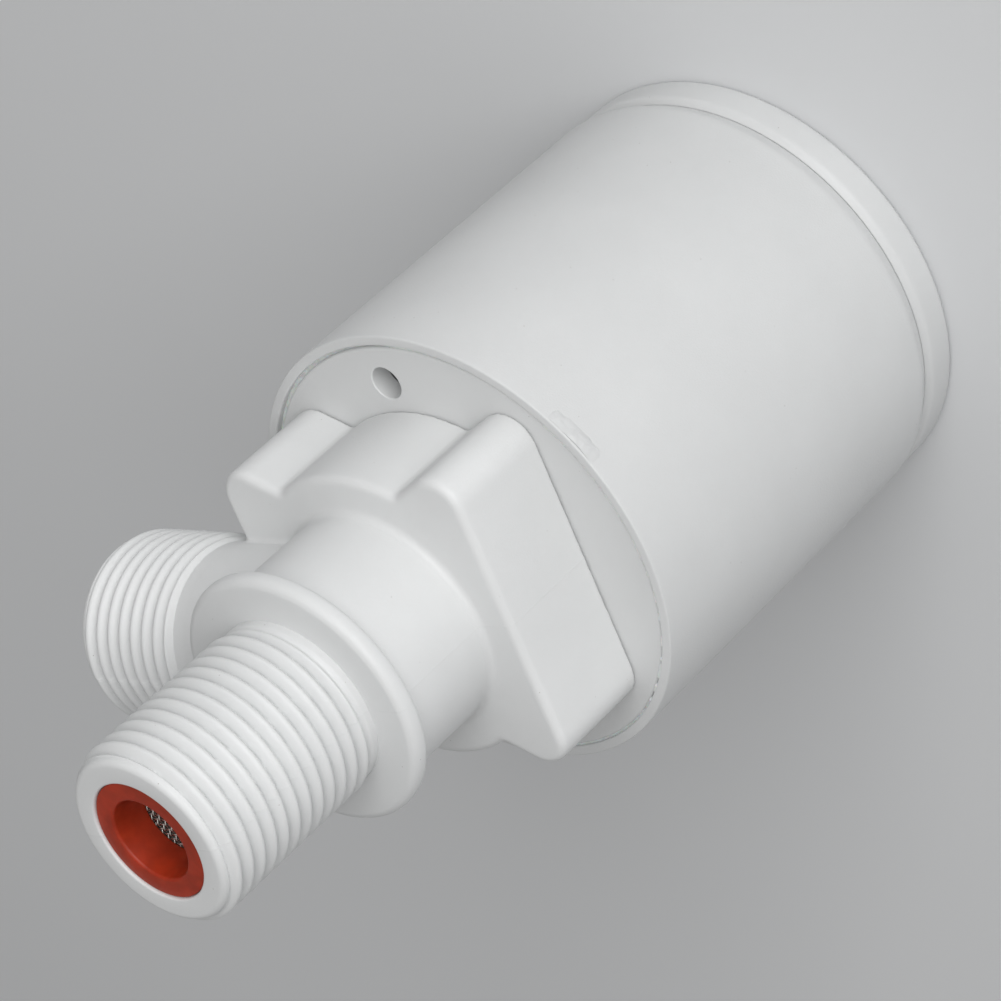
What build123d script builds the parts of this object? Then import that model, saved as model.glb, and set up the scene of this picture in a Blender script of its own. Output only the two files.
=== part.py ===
from build123d import *
import os
from math import atan2, cos, degrees, hypot, radians, sin

# Float valve, in millimetres. +Z runs up through the inlet, +X through the side outlet.
# The origin is on the main axis, in the flat bottom face of the float housing.

# ---------------------------------------------------------------- driving dimensions
# G 1/2 pipe thread, drawn as one ring with straight flanks for each turn
thread_crest_r = 20.955 / 2
thread_pitch = 1.814
thread_depth = 1.162
thread_land = 0.30              # flat top of a ridge, and flat bottom between two
lip_length = 1.0                # plain lip in front of the first ridge
lip_round = 0.7
inlet_turns = 11
outlet_turns = 8

# valve body, outside
inlet_length = 23.7             # collar to inlet mouth
shank_r = 10.30                 # plain stretch between thread and collar
collar_r = 14.90
collar_thickness = 2.4
collar_round = 0.95
barrel_r = 13.0
barrel_height = 12.7            # block to collar
barrel_cove = 0.8
block_height = 12.9
block_round_r = 17.35           # round stretch between two ears
block_edge_round = 1.1
ear_centre = 13.9               # from each of the two middle planes
ear_r = 3.5
ear_root_r = 1.2                # rounds the web from an ear to the round stretch
ear_root_angle = 31.5           # from the Y axis to the notch beside an ear
notch_round = 0.8
outlet_length = 16.8            # block's side to outlet mouth
outlet_rise = 4.1               # outlet axis above the block's top
neck_r = 9.70

# valve body, inside; its two spigots are separate solids that meet it at flat faces
pocket_r = 7.0                  # holds the seal and the strainer
pocket_depth = 6.4
inlet_bore_r = 5.2
nozzle_tube_r = 7.2
seat_land = 1.0
chamber_r = 12.4
chamber_height = 6.2
chamber_slope = 2.0
annulus_r = 10.4
annulus_top_wall = 0.5          # from the annulus's top to the collar's underside
outlet_bore_r = 7.3             # in the spigot
outlet_passage_r = 6.9          # from the annulus to the spigot

# fits
snug = 0.05                     # radial gap of pieces that stay put
running = 0.05                  # radial gap of a pin in its bore
loose = 0.3                     # gap between pieces that move past each other

# inlet seal and strainer
seal_recess = 0.3
seal_length = 4.1
seal_mouth_r = 4.75
seal_throat_r = 4.4
seal_lip_round = 0.3
frame_wall = 1.5
frame_rebate = 0.75
mesh_thickness = 0.6
mesh_opening = 0.6
mesh_pitch = 0.9

# top plate and pilot chamber
plate_thickness = 2.6
plate_recess = 0.3              # below the housing's rim
vent_r = 1.9
vent_centre = 20.8
vent_turn = 2.4                 # degrees from the -Y side
cup_r = 11.0
cup_outer_r = 14.6
cup_depth = 6.8
cup_floor = 2.0

# diaphragm and its inner pieces
bead_r = 15.3
bead_height = 2.0
web_thickness = 1.1
pad_r = 8.2
pad_thickness = 1.7
seat_rise = 4.7                 # seat above the plate's top
diaphragm_travel = 3.0
backing_r = 8.0
backing_thickness = 1.6
stem_r = 1.5
stem_head_r = 1.95
stem_head_length = 1.0
guide_flange_r = 4.4
guide_flange_thickness = 1.0
guide_length = 8.0
wing_thickness = 1.0
wing_count = 4
bleed_r = 0.45
spring_r = 5.5
spring_wire_r = 0.35
spring_turns = 4

# pilot nozzle
nozzle_body_r = 2.0
nozzle_flange_r = 3.1
nozzle_flange_thickness = 1.0
nozzle_reach = 1.6              # below the chamber's floor
nozzle_tip_r = 1.2
nozzle_bore_r = 0.6
oring_wire_r = 0.3
oring_recess = 0.6

# screws
cover_screw_r = 1.45
cover_screw_length = 12.0
cover_head_r = 3.0
cover_head_height = 2.1
bracket_screw_r = 1.0
bracket_screw_length = 6.4
bracket_head_r = 2.0
bracket_head_height = 1.2
bracket_screw_x = -5.2
bracket_screw_y = 11.6
driver_slot = 0.6
driver_depth = 0.9
hole_end_gap = 0.8              # left beyond a screw's tip

# pilot lever, drawn level (closed) and then dropped to its open place
pivot_x = -11.0
pivot_drop = 4.2                # below the chamber's floor
link_x = 13.0
float_travel = 6.0
bar_half_width = 3.0
bar_half_height = 1.2
bar_heel = 2.0
blade_half_width = 2.0
blade_half_height = 2.1
blade_tip = 3.0
blade_start = 6.0               # from the link back to where the blade begins
pin_r = 1.0
slot_end_gap = 0.0614           # left between the link pin and the slot's end
pilot_pad_r = 2.5
pilot_pad_sunk = 1.2
pilot_gap = 0.15                # left between pad and nozzle when closed
bracket_thickness = 1.8
cheek_thickness = 1.5
cheek_half_length = 2.5
cross_bar_half = 2.3

# float
float_r = 22.4
float_height = 25.4
float_wall = 1.2
float_round = 2.0
lid_thickness = 1.4
lid_spigot = 2.0
lid_spigot_wall = 1.0
float_rest_gap = 0.2
link_rise = 5.4                 # link pin above the float's lid
rod_flange_r = 3.8
rod_flange_thickness = 1.0
fork_half_length = 2.0
fork_tine = 2.4
fork_head = 2.2                 # above the pin
fork_floor = 3.0                # below the pin
stud_r = 1.2
nut_flat = 2.6                  # half the width across flats
nut_height = 2.2

# housing and bottom cap
housing_r = 26.55
housing_wall = 1.95
rim_wall = 1.15
rim_round = 0.3
cap_height = 4.7
cap_inset = 0.3                 # rim of the cap inside the housing's wall
cap_round = 0.9
cap_floor = 2.2
valley_inset = 0.95             # valley between cap and housing
shoulder_height = 1.9
shoulder_round = 2.5
cap_spigot = 4.0
cap_spigot_wall = 1.6
rib_count = 6
rib_width = 1.5
rib_gap = 0.6                   # radial, to the float
rib_end_gap = 1.5
rest_rib_count = 3
rest_rib_height = 2.1
rest_rib_inner_r = 3.0
rest_rib_end_gap = 0.4
water_hole_r = 1.8
outer_holes = 12
outer_holes_r = 18.0
inner_holes = 6
inner_holes_r = 9.0
adhesive_depth = 1.4

# ---------------------------------------------------------------- derived heights and radii
float_bottom = cap_floor + rest_rib_height + float_rest_gap
float_top = float_bottom + float_height
link_z = float_top + link_rise
pivot_z = link_z + float_travel
cup_bottom = pivot_z + pivot_drop
cup_floor_z = cup_bottom + cup_floor
plate_top = cup_floor_z + cup_depth
plate_bottom = plate_top - plate_thickness
housing_top = plate_top + plate_recess
block_top = plate_top + block_height
collar_bottom = block_top + barrel_height
collar_top = collar_bottom + collar_thickness
mouth_z = collar_top + inlet_length
outlet_z = block_top + outlet_rise
seat_z = plate_top + seat_rise
pocket_floor = mouth_z - pocket_depth
annulus_top = collar_bottom - annulus_top_wall
block_half_width = ear_centre + ear_r

thread_root_r = thread_crest_r - thread_depth
housing_bore_r = housing_r - housing_wall
cap_r = housing_r - cap_inset
valley_r = housing_r - valley_inset
plate_seat_r = housing_r - rim_wall
plate_r = plate_seat_r - loose
lever_arm = link_x - pivot_x
lever_drop = degrees(atan2(float_travel, lever_arm))
pin_run = hypot(float_travel, lever_arm) - lever_arm
nozzle_tip_z = cup_bottom - nozzle_reach
cheek_inner = bar_half_width + loose
cheek_outer = cheek_inner + cheek_thickness
tine_inner = blade_half_width + loose
tine_outer = tine_inner + fork_tine
ear_places = [(sx * ear_centre, sy * ear_centre) for sx in (-1, 1) for sy in (-1, 1)]


# ---------------------------------------------------------------- helpers
def turned(*outline):
    """Solid of revolution about Z from (radius, height) points; a third number rounds that corner."""
    flat = make_face(Polyline(*[point[:2] for point in outline], close=True)).face()
    for point in outline:
        if len(point) == 3:
            corner = flat.vertices().sort_by_distance((point[0], point[1], 0))[0]
            flat = flat.fillet_2d(point[2], [corner])
    return revolve(Plane.XZ * flat, Axis.Z)


def ring(outer_r, inner_r, bottom, top):
    """Plain ring about the main axis."""
    return turned((inner_r, bottom), (outer_r, bottom), (outer_r, top), (inner_r, top))


def rod(radius, bottom, top, x=0.0, y=0.0):
    """Upright cylinder between two heights."""
    return Pos(x, y, bottom) * extrude(Circle(radius), top - bottom)


def rod_across(radius, half_length, x, z):
    """Cylinder along Y, centred on the middle plane."""
    return Pos(x, 0, z) * Rot(90, 0, 0) * Cylinder(radius, 2 * half_length)


def block(x0, x1, y0, y1, z0, z1):
    """Box between two corners."""
    size = Box(x1 - x0, y1 - y0, z1 - z0)
    return Pos((x0 + x1) / 2, (y0 + y1) / 2, (z0 + z1) / 2) * size


def around(piece, count, start=0.0):
    """The same piece, set evenly round the main axis."""
    return [Rot(0, 0, start + i * 360 / count) * piece for i in range(count)]


def threaded_spigot(length, turns):
    """Spigot with its mouth at z = 0, reaching down, with one ridge for each turn."""
    flank = thread_pitch / 2 - thread_land
    outline = [(0, 0), (thread_root_r, 0, lip_round)]
    for turn in range(turns):
        ridge_top = -lip_length - turn * thread_pitch
        outline += [
            (thread_root_r, ridge_top),
            (thread_crest_r, ridge_top - flank),
            (thread_crest_r, ridge_top - flank - thread_land),
            (thread_root_r, ridge_top - 2 * flank - thread_land),
        ]
    outline += [(thread_root_r, -length), (0, -length)]
    return turned(*outline)


def pan_screw(shank_r, head_r, head_height, underside, tip, x, y):
    """Pan-head screw that points up, with its head below and a cross slot in the head."""
    head = turned(
        (0, underside),
        (head_r, underside),
        (head_r, underside - head_height, head_height * 0.6),
        (0, underside - head_height),
    )
    slot_half = head_r * 0.65
    low = underside - head_height
    slots = block(-slot_half, slot_half, -driver_slot / 2, driver_slot / 2, low, low + driver_depth)
    slots += block(-driver_slot / 2, driver_slot / 2, -slot_half, slot_half, low, low + driver_depth)
    shank = turned(
        (0, underside), (shank_r, underside), (shank_r, tip - shank_r), (shank_r / 3, tip), (0, tip)
    )
    return Pos(x, y, 0) * (head + shank - slots)


def cover_screw_tip():
    """Height of the cover screws' tips."""
    return plate_bottom + cover_screw_length


# ---------------------------------------------------------------- valve body, seal and strainer
def block_outline():
    """Outline of the block: two flat sides, two round ones and four ears."""
    outline = Circle(block_round_r) + Rectangle(2 * block_half_width, 2 * ear_centre)
    root_reach = block_round_r - ear_root_r
    root_x = root_reach * sin(radians(ear_root_angle))
    root_y = root_reach * cos(radians(ear_root_angle))
    for sx in (-1, 1):
        for sy in (-1, 1):
            ear = Pos(sx * ear_centre, sy * ear_centre) * Circle(ear_r)
            root = Pos(sx * root_x, sy * root_y) * Circle(ear_root_r)
            outline += ear + make_hull((ear + root).edges())
    notches = [
        corner
        for corner in outline.vertices()
        if abs(corner.X) < ear_centre - ear_r and abs(hypot(corner.X, corner.Y) - block_round_r) < snug
    ]
    return fillet(notches, notch_round)


def make_valve_body():
    """Eared block, barrel and collar, with the neck of the side outlet up to the block's side."""
    base = extrude(block_outline(), block_height)
    base = fillet(base.edges().group_by(Axis.Z)[-1], block_edge_round)
    base = Pos(0, 0, plate_top) * base
    skirt_r = block_round_r - block_edge_round
    turned_part = turned(
        (0, block_top - block_edge_round),
        (skirt_r, block_top - block_edge_round),
        (skirt_r, block_top),
        (barrel_r, block_top, barrel_cove),
        (barrel_r, collar_bottom),
        (collar_r, collar_bottom, collar_round),
        (collar_r, collar_top, collar_round),
        (0, collar_top),
    )
    neck = Plane(origin=(0, 0, outlet_z), z_dir=(1, 0, 0)) * extrude(Circle(neck_r), block_half_width)
    hollow = turned(
        (0, plate_top),
        (bead_r + snug, plate_top),
        (bead_r + snug, plate_top + bead_height + snug),
        (chamber_r, plate_top + bead_height + snug),
        (chamber_r, plate_top + chamber_height),
        (annulus_r, plate_top + chamber_height + chamber_slope),
        (annulus_r, annulus_top),
        (nozzle_tube_r, annulus_top),
        (nozzle_tube_r, seat_z + seat_land),
        (inlet_bore_r + seat_land, seat_z),
        (inlet_bore_r, seat_z),
        (inlet_bore_r, collar_top),
        (0, collar_top),
    )
    passage_start = nozzle_tube_r + snug
    passage_plane = Plane(origin=(passage_start, 0, outlet_z), z_dir=(1, 0, 0))
    hollow += passage_plane * extrude(Circle(outlet_passage_r), block_half_width - passage_start)
    body = base + turned_part + neck - hollow
    for x, y in ear_places:
        body -= rod(cover_screw_r + snug, plate_top, cover_screw_tip() + hole_end_gap, x, y)
    return body


def make_inlet_spigot():
    """Threaded inlet above the collar, moulded in one with the body."""
    shank_top = mouth_z - lip_length - inlet_turns * thread_pitch
    spigot = Pos(0, 0, mouth_z) * threaded_spigot(inlet_length, inlet_turns)
    spigot += rod(shank_r, collar_top, shank_top)
    spigot -= rod(inlet_bore_r, collar_top, mouth_z)
    return spigot - rod(pocket_r, pocket_floor, mouth_z)


def make_outlet_spigot():
    """Threaded side outlet beyond the block's side, moulded in one with the body."""
    neck_length = outlet_length - lip_length - outlet_turns * thread_pitch
    spigot = Pos(0, 0, outlet_length) * threaded_spigot(outlet_length, outlet_turns)
    spigot += rod(neck_r, 0, neck_length)
    spigot -= rod(outlet_bore_r, 0, outlet_length)
    return Plane(origin=(block_half_width, 0, outlet_z), z_dir=(1, 0, 0)) * spigot


def make_inlet_seal():
    """Silicone seal in the inlet's mouth, with a slightly tapered bore."""
    top = mouth_z - seal_recess
    bottom = top - seal_length
    outer = pocket_r - snug
    return turned(
        (seal_throat_r, bottom),
        (outer, bottom),
        (outer, top),
        (seal_mouth_r, top, seal_lip_round),
    )


def make_strainer_frame():
    """Ring that carries the mesh, between the seal and the pocket's floor."""
    top = mouth_z - seal_recess - seal_length
    outer = pocket_r - snug
    inner = outer - frame_wall
    rebate_r = outer - frame_rebate
    rebate_z = top - mesh_thickness
    return turned(
        (inner, pocket_floor),
        (outer, pocket_floor),
        (outer, top),
        (rebate_r, top),
        (rebate_r, rebate_z),
        (inner, rebate_z),
    )


def make_strainer_mesh():
    """Mesh disc with square openings, seated in the frame's rebate."""
    top = mouth_z - seal_recess - seal_length
    mesh_r = pocket_r - 2 * snug - frame_rebate
    open_r = pocket_r - snug - frame_wall - mesh_opening / 2
    reach = int(open_r / mesh_pitch)
    disc = Circle(mesh_r)
    steps = range(-reach, reach + 1)
    places = [(i * mesh_pitch, j * mesh_pitch) for i in steps for j in steps]
    inside = [Pos(x, y) for x, y in places if (x**2 + y**2) ** 0.5 + mesh_opening / 2 < open_r]
    disc -= [place * Rectangle(mesh_opening, mesh_opening) for place in inside]
    return Pos(0, 0, top - mesh_thickness) * extrude(disc, mesh_thickness)


# ---------------------------------------------------------------- top plate and diaphragm group
def make_top_plate():
    """Round plate with the pilot chamber's cup below it and one vent hole."""
    plate = turned(
        (nozzle_body_r + snug, cup_bottom),
        (cup_outer_r, cup_bottom, 0.8),
        (cup_outer_r, plate_bottom),
        (plate_r, plate_bottom),
        (plate_r, plate_top, rim_round),
        (cup_r, plate_top),
        (cup_r, cup_floor_z),
        (nozzle_flange_r + snug, cup_floor_z),
        (nozzle_flange_r + snug, cup_floor_z - oring_recess),
        (nozzle_body_r + snug, cup_floor_z - oring_recess),
    )
    plate -= Rot(0, 0, vent_turn) * rod(vent_r, plate_bottom, plate_top, 0, -vent_centre)
    for x, y in ear_places:
        plate -= rod(cover_screw_r + loose, plate_bottom, plate_top, x, y)
    screw_end = cup_bottom - bracket_thickness + bracket_screw_length + hole_end_gap
    for side in (-1, 1):
        plate -= rod(bracket_screw_r + snug, cup_bottom, screw_end, bracket_screw_x, side * bracket_screw_y)
    return plate


def make_diaphragm():
    """Rubber diaphragm: clamped bead, thin conical web and thick middle that closes the seat."""
    bead_inner = chamber_r + 0.4
    pad_low = seat_z - pad_thickness
    return turned(
        (stem_r + snug, pad_low),
        (pad_r, pad_low),
        (bead_inner - web_thickness, plate_top),
        (bead_r, plate_top),
        (bead_r, plate_top + bead_height),
        (bead_inner, plate_top + bead_height),
        (chamber_r - loose, plate_top + web_thickness),
        (pad_r, seat_z),
        (stem_r + snug, seat_z),
    )


def make_diaphragm_guide():
    """Winged guide in the nozzle tube; its stem holds diaphragm and backing, its bore bleeds."""
    backing_low = seat_z - pad_thickness - backing_thickness
    head_low = backing_low - stem_head_length
    guide = turned(
        (bleed_r, head_low),
        (stem_head_r - 0.5, head_low),
        (stem_head_r, backing_low),
        (stem_r, backing_low),
        (stem_r, seat_z),
        (guide_flange_r, seat_z),
        (guide_flange_r, seat_z + guide_flange_thickness),
        (stem_r, seat_z + guide_flange_thickness),
        (stem_r, seat_z + guide_length),
        (bleed_r, seat_z + guide_length),
    )
    wing_r = inlet_bore_r - 2 * running
    wing = block(stem_r / 2, wing_r, -wing_thickness / 2, wing_thickness / 2, seat_z, seat_z + guide_length)
    wing &= rod(wing_r, seat_z, seat_z + guide_length)
    bore = rod(bleed_r, seat_z, seat_z + guide_length)
    for turned_wing in around(wing, wing_count):
        guide += turned_wing - bore
    return guide


def make_diaphragm_backing():
    """Plate under the diaphragm's middle."""
    top = seat_z - pad_thickness
    return ring(backing_r, stem_r + snug, top - backing_thickness, top)


def make_diaphragm_spring():
    """Closing spring between the chamber's floor and the backing."""
    bottom = cup_floor_z + spring_wire_r
    top = seat_z - pad_thickness - backing_thickness - spring_wire_r
    path = Helix((top - bottom) / spring_turns, top - bottom, spring_r, center=(0, 0, bottom))
    section = Plane(origin=path @ 0, z_dir=path % 0) * Circle(spring_wire_r)
    return sweep(section, path, is_frenet=True)


def make_pilot_nozzle():
    """Pilot orifice, flanged on the chamber's floor, with its tip below it."""
    flange_top = cup_floor_z + nozzle_flange_thickness
    return turned(
        (nozzle_bore_r, nozzle_tip_z),
        (nozzle_tip_r, nozzle_tip_z),
        (nozzle_body_r, cup_bottom),
        (nozzle_body_r, cup_floor_z),
        (nozzle_flange_r, cup_floor_z),
        (nozzle_flange_r, flange_top),
        (nozzle_bore_r, flange_top),
    )


def make_nozzle_seal():
    """O-ring in the recess under the nozzle's flange."""
    middle_r = nozzle_body_r + oring_wire_r + snug
    return Pos(0, 0, cup_floor_z - oring_recess / 2) * Torus(middle_r, oring_wire_r)


def make_cover_screws():
    """Four screws through the plate into the ears."""
    return [
        pan_screw(cover_screw_r, cover_head_r, cover_head_height, plate_bottom, cover_screw_tip(), x, y)
        for x, y in ear_places
    ]


# ---------------------------------------------------------------- pilot lever group
def make_lever_bracket():
    """Cross bar under the chamber, with two cheeks that hold the lever's pin."""
    top = cup_bottom
    low = top - bracket_thickness
    heel_x = pivot_x - cheek_half_length
    bar_end = bracket_screw_y + bracket_head_r + 0.4
    cross = block(
        bracket_screw_x - cross_bar_half, bracket_screw_x + cross_bar_half, -bar_end, bar_end, low, top
    )
    bracket = cross + block(heel_x, bracket_screw_x, -cheek_outer, cheek_outer, low, top)
    for side in (-1, 1):
        near, far = sorted((side * cheek_inner, side * cheek_outer))
        bracket += block(heel_x, pivot_x + cheek_half_length, near, far, pivot_z, low)
        cheek_end = rod_across(cheek_half_length, cheek_thickness / 2, pivot_x, pivot_z)
        bracket += Pos(0, side * (cheek_inner + cheek_outer) / 2, 0) * cheek_end
        bracket -= rod(bracket_screw_r + snug, low, top, bracket_screw_x, side * bracket_screw_y)
    return bracket - rod_across(pin_r + snug / 2, cheek_outer, pivot_x, pivot_z)


def make_bracket_screws():
    """Two screws through the bracket into the chamber's wall."""
    seat = cup_bottom - bracket_thickness
    tip = seat + bracket_screw_length
    places = [(bracket_screw_x, side * bracket_screw_y) for side in (-1, 1)]
    return [
        pan_screw(bracket_screw_r, bracket_head_r, bracket_head_height, seat, tip, x, y) for x, y in places
    ]


def dropped(piece):
    """Turns a piece of the lever from its closed place to its open one."""
    return piece.rotate(Axis((pivot_x, 0, pivot_z), (0, 1, 0)), lever_drop)


def make_pilot_lever():
    """Lever: round heel on the pin, flat bar with the pad's pocket, and a slotted blade."""
    bar_low, bar_high = pivot_z - bar_half_height, pivot_z + bar_half_height
    blade_x = link_x - blade_start
    lever = block(pivot_x, blade_x, -bar_half_width, bar_half_width, bar_low, bar_high)
    lever += rod_across(bar_heel, bar_half_width, pivot_x, pivot_z)
    blade_low, blade_high = pivot_z - blade_half_height, pivot_z + blade_half_height
    lever += block(
        blade_x - bar_half_height, link_x, -blade_half_width, blade_half_width, blade_low, blade_high
    )
    tip_x = link_x + blade_tip - blade_half_height
    lever += block(link_x, tip_x, -blade_half_width, blade_half_width, blade_low, blade_high)
    lever += rod_across(blade_half_height, blade_half_width, tip_x, pivot_z)
    lever -= rod_across(pin_r + running, bar_half_width, pivot_x, pivot_z)
    slot_r = pin_r + 2 * running
    half_run = pin_run + pin_r + slot_end_gap - slot_r
    for end in (-1, 1):
        lever -= rod_across(slot_r, blade_half_width, link_x + end * half_run, pivot_z)
    slot_low, slot_high = pivot_z - slot_r, pivot_z + slot_r
    lever -= block(
        link_x - half_run, link_x + half_run, -blade_half_width, blade_half_width, slot_low, slot_high
    )
    lever -= rod(pilot_pad_r + snug, bar_high - pilot_pad_sunk, bar_high)
    return dropped(lever)


def make_pilot_pad():
    """Rubber pad in the lever's pocket; level with the nozzle's tip when closed."""
    low = pivot_z + bar_half_height - pilot_pad_sunk
    return dropped(rod(pilot_pad_r, low, nozzle_tip_z - pilot_gap))


def make_lever_pin():
    """Pivot pin, held in the bracket's cheeks."""
    return rod_across(pin_r, cheek_outer, pivot_x, pivot_z)


# ---------------------------------------------------------------- float group
def lid_bottom():
    """Height of the lid's underside."""
    return float_top - lid_thickness


def make_float_cup():
    """Hollow lower shell of the float."""
    inner = float_r - float_wall
    return turned(
        (0, float_bottom),
        (float_r, float_bottom, float_round),
        (float_r, lid_bottom()),
        (inner, lid_bottom()),
        (inner, float_bottom + float_wall, float_round - float_wall),
        (0, float_bottom + float_wall),
    )


def make_float_lid():
    """Lid welded on the shell, with a spigot ring inside it."""
    spigot_r = float_r - float_wall - snug
    lid = turned(
        (0, lid_bottom()),
        (spigot_r - lid_spigot_wall, lid_bottom()),
        (spigot_r - lid_spigot_wall, lid_bottom() - lid_spigot),
        (spigot_r, lid_bottom() - lid_spigot),
        (spigot_r, lid_bottom()),
        (float_r, lid_bottom()),
        (float_r, float_top, 0.5),
        (0, float_top),
    )
    return lid - rod(stud_r + snug, lid_bottom(), float_top, link_x, 0)


def make_float_rod():
    """Forked post on the lid that straddles the lever's blade."""
    floor_z = link_z - fork_floor
    post = rod(rod_flange_r, float_top, float_top + rod_flange_thickness)
    post += rod(stud_r, lid_bottom() - nut_height, float_top)
    post += block(
        -fork_half_length, fork_half_length, -tine_outer, tine_outer, float_top, link_z + fork_head
    )
    post -= block(
        -fork_half_length, fork_half_length, -tine_inner, tine_inner, floor_z, link_z + fork_head
    )
    post -= rod_across(pin_r + snug / 2, tine_outer, 0, link_z)
    return Pos(link_x, 0, 0) * post


def make_rod_nut():
    """Nut under the lid, on the rod's stud."""
    hexagon = RegularPolygon(nut_flat, 6, major_radius=False) - Circle(stud_r + snug)
    return Pos(link_x, 0, lid_bottom() - nut_height) * extrude(hexagon, nut_height)


def make_link_pin():
    """Pin through the fork and the lever's slot."""
    return rod_across(pin_r, tine_outer, link_x, link_z)


# ---------------------------------------------------------------- housing
def make_float_housing():
    """Open cylinder with a rounded lower shoulder, a rim round the plate and guide ribs inside."""
    shell = turned(
        (housing_bore_r, cap_height),
        (valley_r, cap_height),
        (housing_r, cap_height + shoulder_height, shoulder_round),
        (housing_r, housing_top, rim_round),
        (plate_seat_r, housing_top),
        (plate_seat_r, plate_bottom),
        (housing_bore_r, plate_bottom),
    )
    rib_inner = float_r + rib_gap
    rib_low = cap_height + cap_spigot + rib_end_gap
    rib_high = plate_bottom - rib_end_gap
    middle_r = (housing_bore_r + housing_r) / 2
    rib = block(rib_inner, middle_r, -rib_width / 2, rib_width / 2, rib_low, rib_high)
    for turned_rib in around(rib, rib_count, 180 / rib_count):
        shell += turned_rib
    return shell


def make_bottom_cap():
    """Cap with a plain rim, a spigot in the housing, water holes and ribs the float rests on."""
    spigot_r = housing_bore_r - snug
    spigot_inner = spigot_r - cap_spigot_wall
    cap = turned(
        (0, 0),
        (cap_r, 0, cap_round),
        (cap_r, cap_height - (cap_r - valley_r), cap_round),
        (valley_r, cap_height),
        (spigot_r, cap_height),
        (spigot_r, cap_height + cap_spigot),
        (spigot_inner, cap_height + cap_spigot),
        (spigot_inner, cap_floor),
        (0, cap_floor),
    )
    outer_hole = rod(water_hole_r, 0, cap_floor, outer_holes_r)
    inner_hole = rod(water_hole_r, 0, cap_floor, inner_holes_r)
    for hole in around(outer_hole, outer_holes, 180 / outer_holes):
        cap -= hole
    for hole in around(inner_hole, inner_holes, 180 / inner_holes):
        cap -= hole
    rib_end = spigot_inner - rest_rib_end_gap
    rib_top = cap_floor + rest_rib_height
    rib = block(rest_rib_inner_r, rib_end, -rib_width / 2, rib_width / 2, cap_floor, rib_top)
    for rest_rib in around(rib, rest_rib_count):
        cap += rest_rib
    return cap


def make_rim_adhesive():
    """Cured adhesive in the narrow gap between plate and rim."""
    top = plate_top - rim_round - snug
    return ring(plate_seat_r - snug / 2, plate_r + snug / 2, top - adhesive_depth, top)


# ---------------------------------------------------------------- output
pieces = {
    "valve_body": make_valve_body,
    "inlet_spigot": make_inlet_spigot,
    "outlet_spigot": make_outlet_spigot,
    "inlet_seal": make_inlet_seal,
    "strainer_frame": make_strainer_frame,
    "strainer_mesh": make_strainer_mesh,
    "top_plate": make_top_plate,
    "diaphragm": make_diaphragm,
    "diaphragm_guide": make_diaphragm_guide,
    "diaphragm_backing": make_diaphragm_backing,
    "diaphragm_spring": make_diaphragm_spring,
    "pilot_nozzle": make_pilot_nozzle,
    "nozzle_seal": make_nozzle_seal,
    "cover_screws": make_cover_screws,
    "lever_bracket": make_lever_bracket,
    "bracket_screws": make_bracket_screws,
    "pilot_lever": make_pilot_lever,
    "pilot_pad": make_pilot_pad,
    "lever_pin": make_lever_pin,
    "float_cup": make_float_cup,
    "float_lid": make_float_lid,
    "float_rod": make_float_rod,
    "rod_nut": make_rod_nut,
    "link_pin": make_link_pin,
    "float_housing": make_float_housing,
    "bottom_cap": make_bottom_cap,
    "rim_adhesive": make_rim_adhesive,
}

os.makedirs("parts", exist_ok=True)
for name, make in pieces.items():
    piece = make()
    if isinstance(piece, list):
        piece = Compound(children=piece)
    export_step(piece, f"parts/{name}.step")
print("mouth height", mouth_z, "lever drop", round(lever_drop, 3), "degrees")
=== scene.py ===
from math import acos, atan2, ceil, cos, pi, radians, sin, sqrt, tan

import bmesh
import bpy
from bpy.props import FloatProperty, FloatVectorProperty, IntProperty, PointerProperty
from bpy.types import Operator, Panel, PropertyGroup
from mathutils import Matrix, Quaternion, Vector, noise


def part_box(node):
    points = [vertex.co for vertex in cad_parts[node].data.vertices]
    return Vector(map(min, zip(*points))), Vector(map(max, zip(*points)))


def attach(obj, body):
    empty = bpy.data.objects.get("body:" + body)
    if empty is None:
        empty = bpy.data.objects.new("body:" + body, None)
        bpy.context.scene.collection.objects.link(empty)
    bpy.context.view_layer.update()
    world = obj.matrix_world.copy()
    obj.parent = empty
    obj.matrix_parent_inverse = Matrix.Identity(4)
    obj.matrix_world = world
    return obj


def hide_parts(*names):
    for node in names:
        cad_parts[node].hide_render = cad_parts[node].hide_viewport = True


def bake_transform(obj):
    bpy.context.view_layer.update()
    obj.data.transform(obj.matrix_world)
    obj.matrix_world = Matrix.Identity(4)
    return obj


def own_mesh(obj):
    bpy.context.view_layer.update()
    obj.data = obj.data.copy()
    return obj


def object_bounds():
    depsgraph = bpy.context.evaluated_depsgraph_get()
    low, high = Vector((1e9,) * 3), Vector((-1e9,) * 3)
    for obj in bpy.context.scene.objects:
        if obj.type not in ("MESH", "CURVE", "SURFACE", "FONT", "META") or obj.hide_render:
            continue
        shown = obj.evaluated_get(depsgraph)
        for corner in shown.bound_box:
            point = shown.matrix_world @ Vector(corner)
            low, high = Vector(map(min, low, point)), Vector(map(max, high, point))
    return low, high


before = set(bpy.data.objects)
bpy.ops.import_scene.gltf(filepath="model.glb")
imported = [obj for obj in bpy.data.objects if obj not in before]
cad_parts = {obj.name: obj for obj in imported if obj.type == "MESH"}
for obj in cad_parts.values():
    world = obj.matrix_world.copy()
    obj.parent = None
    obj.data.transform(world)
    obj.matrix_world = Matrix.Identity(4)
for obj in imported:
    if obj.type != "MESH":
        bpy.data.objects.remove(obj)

bl_info = {
    "name": "Float Valve",
    "version": (1, 0, 0),
    "blender": (4, 5, 0),
    "location": "3D View > Sidebar > Float Valve",
    "description": "Builds the looks of a float valve with a threaded inlet and side outlet",
    "category": "Add Mesh",
}

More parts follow.
